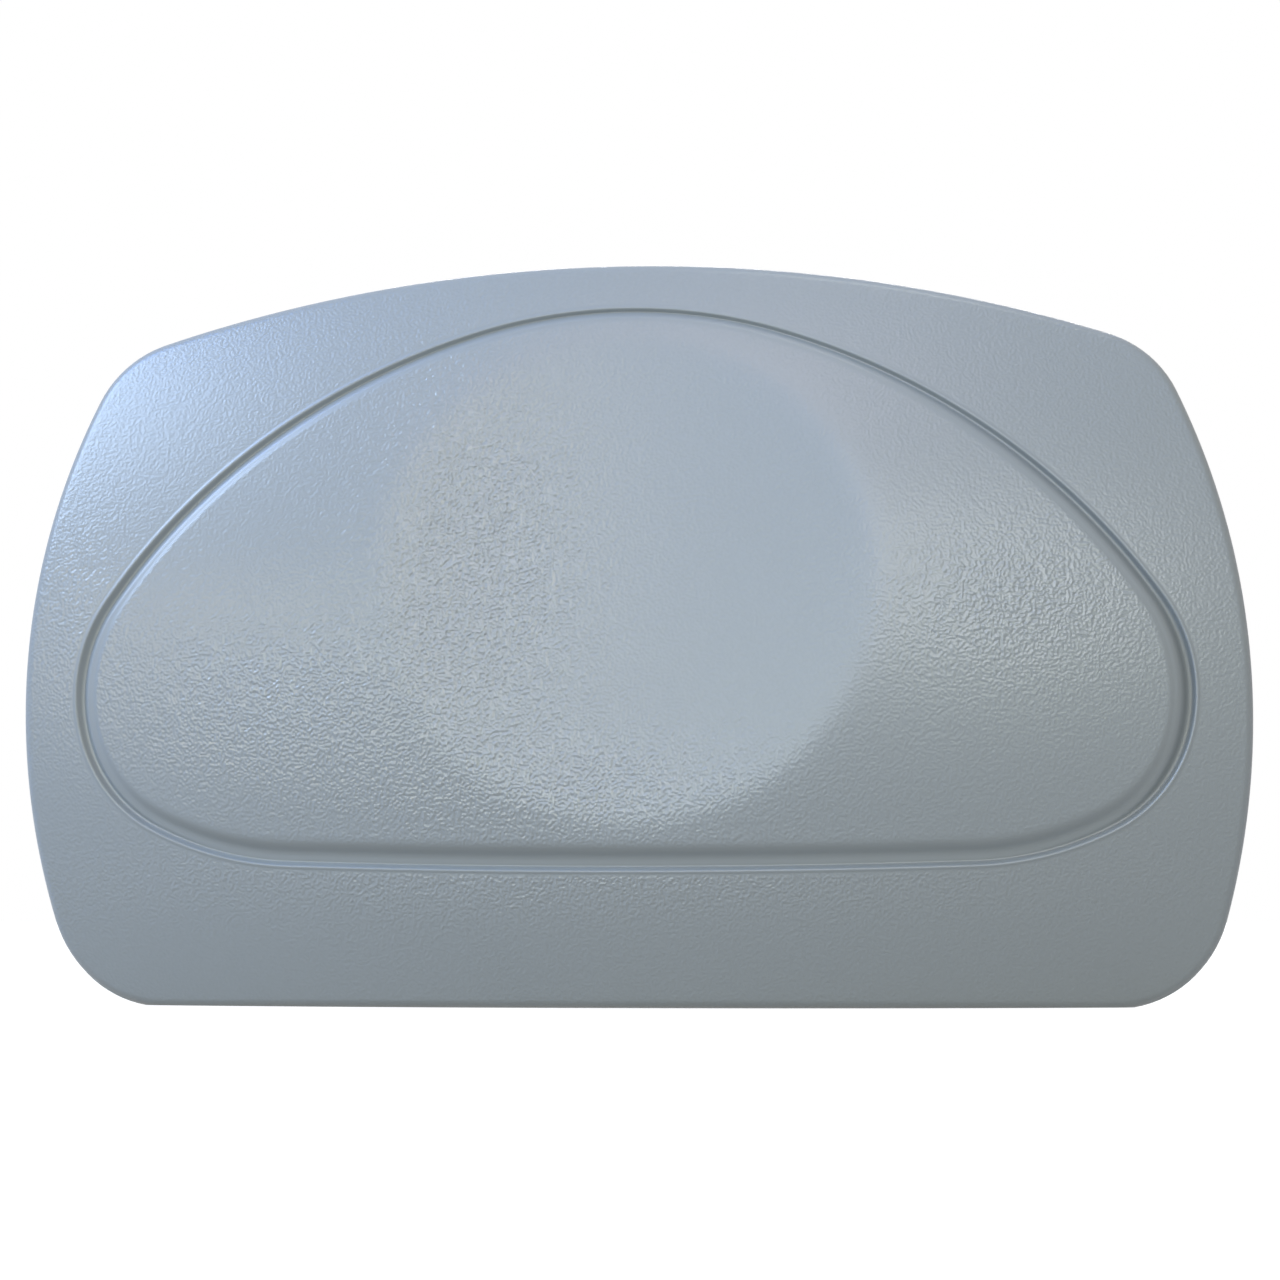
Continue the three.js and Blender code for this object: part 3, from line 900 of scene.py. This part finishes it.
# The holes that the foam keys through, as shares of the cups' distance across and up
plate_hole_shares = [
    (0, 0), (0.5, 0), (-0.5, 0), (1, 0), (-1, 0), (0, 0.8), (0.5, 0.8), (-0.5, 0.8),
    (0, -0.8), (0.5, -0.8), (-0.5, -0.8),
]
plate_end_hole_from_edge = 14 * mm
plate_steps = 200
plate_hole_steps = 40
plate_round = 0.3 * mm
plate_round_segments = 1
rib_round_segments = 2
cup_across, cup_up = cup_places["top_right"]
plate_end_hole = pad_width / 2 - plate_in_from_edge - plate_end_hole_from_edge
plate_holes = [(cup_across * across, cup_up * up) for across, up in plate_hole_shares]
plate_holes += [(plate_end_hole, 0), (-plate_end_hole, 0)]
plate_outline = arc_outline(
    pad_arc_shares, pad_width - 2 * plate_in_from_edge, pad_height / 2 - plate_in_from_edge,
    plate_in_from_edge - pad_height / 2, plate_steps,
)


def circle(x, z, radius, steps):
    """An outline that is a circle round a middle."""
    turns = [2 * math.pi * step / steps for step in range(steps)]
    return [Vector((x + radius * math.cos(turn), z + radius * math.sin(turn))) for turn in turns]


def flat_slab(outlines, start, thickness):
    """A slab with the first outline as its edge and the others as its holes."""
    bm = bmesh.new()
    open_edges = []
    for outline in outlines:
        ring = first_ring(bm, lift(outline, lambda index: start))
        open_edges += ring_edges(bm, ring)
    bmesh.ops.triangle_fill(bm, use_beauty=True, edges=open_edges)
    raised = bmesh.ops.extrude_face_region(bm, geom=bm.faces[:])["geom"]
    lifted = [item for item in raised if isinstance(item, bmesh.types.BMVert)]
    bmesh.ops.translate(bm, vec=(0, -thickness, 0), verts=lifted)
    bmesh.ops.recalc_face_normals(bm, faces=bm.faces)
    return bm


def insert_plate(grown=0):
    """The plate, or with every side grown by a clearance, the room for it in the foam."""
    rib_start = plate_height + plate_thickness / 2
    rib_end = plate_height + plate_thickness + plate_rib_height + grown
    holes = [circle(x, z, plate_hole_radius - grown, plate_hole_steps) for x, z in plate_holes]
    if not grown:
        holes += [circle(x, z, socket_hole, plate_hole_steps) for x, z in cup_places.values()]
    plate = flat_slab(
        [offset(plate_outline, grown), *holes], plate_height - grown, plate_thickness + 2 * grown
    )
    rib = flat_slab(
        [offset(plate_outline, grown - plate_rib_width),
         offset(plate_outline, -grown - 2 * plate_rib_width)],
        rib_start, rib_end - rib_start,
    )
    if not grown:
        soften(plate, plate_round, plate_round_segments)
        soften(rib, plate_round, rib_round_segments)
    plate = combine(plate, rib, "UNION")
    for x, z in cup_places.values():
        outside = plate_collar_radius + plate_collar_wall + grown
        walls = [circle(x, z, outside, plate_hole_steps)]
        if not grown:
            walls.append(circle(x, z, plate_collar_radius, plate_hole_steps))
        collar = flat_slab(walls, rib_start, rib_end - rib_start)
        if not grown:
            soften(collar, plate_round, rib_round_segments)
        plate = combine(plate, collar, "UNION")
    return plate


# Natural polypropylene, moulded: milky, half matt, with pale flow marks a few centimetres long
def natural_polypropylene():
    plate_colour = "E4E6E2"
    flow_colour = "DADDD8"
    polypropylene_ior = 1.49
    light_reach = 2 * mm
    flow_size = 30 * mm
    grain_size = 0.6 * mm
    grain_depth = 0.02 * mm
    material, tree, shader = start_material("natural polypropylene, injection moulded", {
        "Roughness": 0.48, "IOR": polypropylene_ior, "Subsurface Weight": 0.1,
        "Subsurface Scale": light_reach,
    })
    place = add_node(tree, "TexCoord").outputs["Object"]
    flow = add_node(tree, "TexNoise", {"Scale": 1 / flow_size, "Detail": 3.0}, {"Vector": place})
    tint = add_node(
        tree, "Mix", {"data_type": "RGBA", 6: linear(plate_colour), 7: linear(flow_colour)},
        {0: flow.outputs["Fac"]},
    )
    tree.links.new(tint.outputs[2], shader.inputs["Base Color"])
    grain = add_node(tree, "TexNoise", {"Scale": 1 / grain_size, "Detail": 1.0}, {"Vector": place})
    relief = add_node(tree, "Bump", {"Distance": grain_depth}, {"Height": grain.outputs["Fac"]})
    tree.links.new(relief.outputs["Normal"], shader.inputs["Normal"])
    return material


plate = finish_piece(
    "perforated_insert_plate", insert_plate(), natural_polypropylene(), "pillow"
)
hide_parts("insert_plate")

# Foam core: soft polyurethane foam poured between the skins, round the plate and through its
# holes, with room for the pockets and the sockets. It holds the skins to their moulded form.
fit_gap = 0.3 * mm
foam_stride = 2


def pocket_room(depth):
    """The room in the foam for a pocket of the back skin and the barrel of its socket."""
    wall = socket_barrel_radius + socket_barb + 2 * fit_gap
    return spun([
        (0, back_face_height - depth),
        (pocket_radius + depth, back_face_height - depth),
        (pocket_radius + depth, back_face_height),
        (pocket_floor_radius + depth, pocket_floor_height + depth),
        (wall, pocket_floor_height + depth),
        (wall, socket_end + fit_gap),
        (0, socket_end + fit_gap),
    ], pocket_steps)


def foam_core():
    """The foam from its widest ring to the front and to the back, with its rooms cut out."""
    bm = bmesh.new()
    depth = skin_wall + fit_gap
    widest = first_ring(bm, lift(offset(pad_outline, -depth), lambda index: parting_height))
    back_middle = Vector((face_centre.x, -back_face_height - depth, face_centre.y))
    front = [places for places, _, _ in face_rings(depth, foam_stride)]
    for rings, middle in ((front, face_middle(depth)), (back_rings(depth), back_middle)):
        ring = widest
        for places in rings:
            ring = next_ring(bm, ring, places)
        close_onto(bm, ring, middle)
    bmesh.ops.recalc_face_normals(bm, faces=bm.faces)
    foam = combine(bm, insert_plate(fit_gap), "DIFFERENCE")
    for x, z in cup_places.values():
        room = pocket_room(depth)
        bmesh.ops.translate(room, vec=(x, 0, z), verts=room.verts)
        foam = combine(foam, room, "DIFFERENCE")
    return foam


# Open-cell foam: matt and cream, with pores about a millimetre across whose shadow is painted darker
# into the colour
def open_cell_foam():
    foam_colour = "D9D3C2"
    # Painted shadow in the pores
    painted_pore_shadow_colour = "B9B19C"
    cell_size = 1.1 * mm
    cell_depth = 0.5 * mm
    material, tree, shader = start_material("polyurethane foam, poured, open cell", {
        "Roughness": 0.95, "Specular IOR Level": 0.2,
    })
    place = add_node(tree, "TexCoord").outputs["Object"]
    cells = add_node(tree, "TexVoronoi", {"Scale": 1 / cell_size}, {"Vector": place})
    tint = add_node(
        tree, "Mix", {"data_type": "RGBA", 6: linear(painted_pore_shadow_colour), 7: linear(foam_colour)},
        {0: cells.outputs["Distance"]},
    )
    tree.links.new(tint.outputs[2], shader.inputs["Base Color"])
    relief = add_node(tree, "Bump", {"Distance": cell_depth}, {"Height": cells.outputs["Distance"]})
    tree.links.new(relief.outputs["Normal"], shader.inputs["Normal"])
    return material


foam = finish_piece("poured_foam_core", foam_core(), open_cell_foam(), "pillow")
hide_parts("foam_core")

# Studio: a camera as far off as a hand-held one, a little to the right and below, a pale floor
# under the pad's lower edge, softboxes for a room with a window up to the left, and a white world.
view_right = math.radians(4)
view_up = math.radians(-5)
outline_height = 24.4 * mm
# In pixels: the photograph's side, the pad's width in it, and the pad's middle off its middle
photo_side = 1280
pad_wide_in_photo = 1227
pad_left_of_middle = 9.1
pad_above_middle = 6.3
# In millimetres, as the camera takes them
camera_lens = 85
camera_sensor = 36
view_width = photo_side * pad_width / pad_wide_in_photo
view_distance = view_width * camera_lens / camera_sensor


def direction(right, up):
    """The way to a place that is turned so far to the right of straight out, and so far up."""
    return Vector((
        math.sin(right) * math.cos(up), -math.cos(right) * math.cos(up), math.sin(up)
    ))


camera_data = bpy.data.cameras.new("camera")
camera_data.lens = camera_lens
camera_data.sensor_width = camera_sensor
camera_data.shift_x = pad_left_of_middle / photo_side
camera_data.shift_y = -pad_above_middle / photo_side
camera = bpy.data.objects.new("camera", camera_data)
toward_camera = direction(view_right, view_up)
camera.location = Vector((0, -outline_height, 0)) + toward_camera * view_distance
camera.rotation_euler = toward_camera.to_track_quat("Z", "Y").to_euler()
bpy.context.scene.collection.objects.link(camera)
bpy.context.scene.camera = camera

# Softboxes three metres off. Each has its colour, its power in watts, its width and height in
# metres, and its direction in degrees to the right of straight out from the wall and degrees up.
lamp_distance = 3
lamps = {
    "window": ("C2DCFF", 60, 1.3, 1.3, -62, 34),
    "sky": ("2E8FFF", 18, 1.1, 1.1, -73, 48),
    "left wall": ("FFEFC9", 7.1, 0.8, 0.3, -35, 3),
    "left room": ("F5FFEA", 6.7, 0.9, 0.3, -14, 1),
    "front": ("AAC8FF", 5, 0.95, 0.95, -4, 21),
    "ceiling": ("FFEDF2", 7.4, 0.9, 0.9, 5, 42),
    "high right": ("FFFAF0", 8, 0.9, 0.9, 50, 75),
    "right room": ("FBFBF5", 18, 1.7, 0.8, 16, 13.5),
    "right wall": ("EEFFC8", 2.3, 0.9, 0.3, 24, 1),
    "behind": ("FFFFFF", 60, 1.2, 1.2, 180, 15),
}
for name, (colour, power, width, height, right, up) in lamps.items():
    lamp_data = bpy.data.lights.new(name, "AREA")
    lamp_data.shape = "RECTANGLE"
    lamp_data.color = linear(colour)[:3]
    lamp_data.energy = power
    lamp_data.size = width
    lamp_data.size_y = height
    lamp = bpy.data.objects.new(name, lamp_data)
    lamp.location = lamp_distance * direction(math.radians(right), math.radians(up))
    lamp.rotation_euler = lamp.location.to_track_quat("Z", "Y").to_euler()
    lamp.visible_camera = False
    bpy.context.scene.collection.objects.link(lamp)

# What the camera sees of the world and of the floor
seen_colour = "FFFFFF"


def seen_directly(tree):
    """1 for what the camera, a mirror or a glass sees, and 0 for the light that it gives."""
    path = add_node(tree, "LightPath")
    mirrored = add_node(
        tree, "Math", {"operation": "MAXIMUM"},
        {0: path.outputs["Is Camera Ray"], 1: path.outputs["Is Glossy Ray"]},
    )
    return add_node(
        tree, "Math", {"operation": "MAXIMUM"},
        {0: mirrored.outputs["Value"], 1: path.outputs["Is Transmission Ray"]},
    ).outputs["Value"]


# White studio world: white where it is seen, and a faint even light on the pad
def white_studio():
    light_colour = "FFFEFC"
    light_strength = 0.08
    world = bpy.data.worlds.new("white studio")
    world.use_nodes = True
    tree = world.node_tree
    tree.nodes.clear()
    light = add_node(
        tree, "Background", {"Color": linear(light_colour), "Strength": light_strength}
    )
    white = add_node(tree, "Background", {"Color": linear(seen_colour), "Strength": 1.0})
    backdrop = add_node(
        tree, "MixShader",
        links={0: seen_directly(tree), 1: light.outputs[0], 2: white.outputs[0]},
    )
    add_node(tree, "OutputWorld", links={"Surface": backdrop.outputs[0]})
    return world


bpy.context.scene.world = white_studio()

floor_side = 6
floor_bm = bmesh.new()
bmesh.ops.create_grid(floor_bm, x_segments=1, y_segments=1, size=floor_side / 2)
bmesh.ops.translate(floor_bm, vec=(0, 0, cad_low.z), verts=floor_bm.verts)
floor_mesh = bpy.data.meshes.new("floor")
floor_bm.to_mesh(floor_mesh)
floor_bm.free()
floor = bpy.data.objects.new("floor", floor_mesh)
bpy.context.scene.collection.objects.link(floor)


# Pale matt studio floor: it reads as white to the camera and keeps the pad's soft shadow
def studio_floor():
    floor_colour = "6A6C6E"
    floor_glow = 0.93
    material, tree, shader = start_material("pale matt studio floor", {
        "Base Color": linear(floor_colour), "Roughness": 0.9, "Specular IOR Level": 0.1,
        "Emission Color": linear(seen_colour),
    })
    glow = add_node(
        tree, "Math", {"operation": "MULTIPLY", 1: floor_glow}, {0: seen_directly(tree)}
    )
    tree.links.new(glow.outputs["Value"], shader.inputs["Emission Strength"])
    return material


floor_mesh.materials.append(studio_floor())
bpy.context.scene.view_settings.view_transform = "Standard"
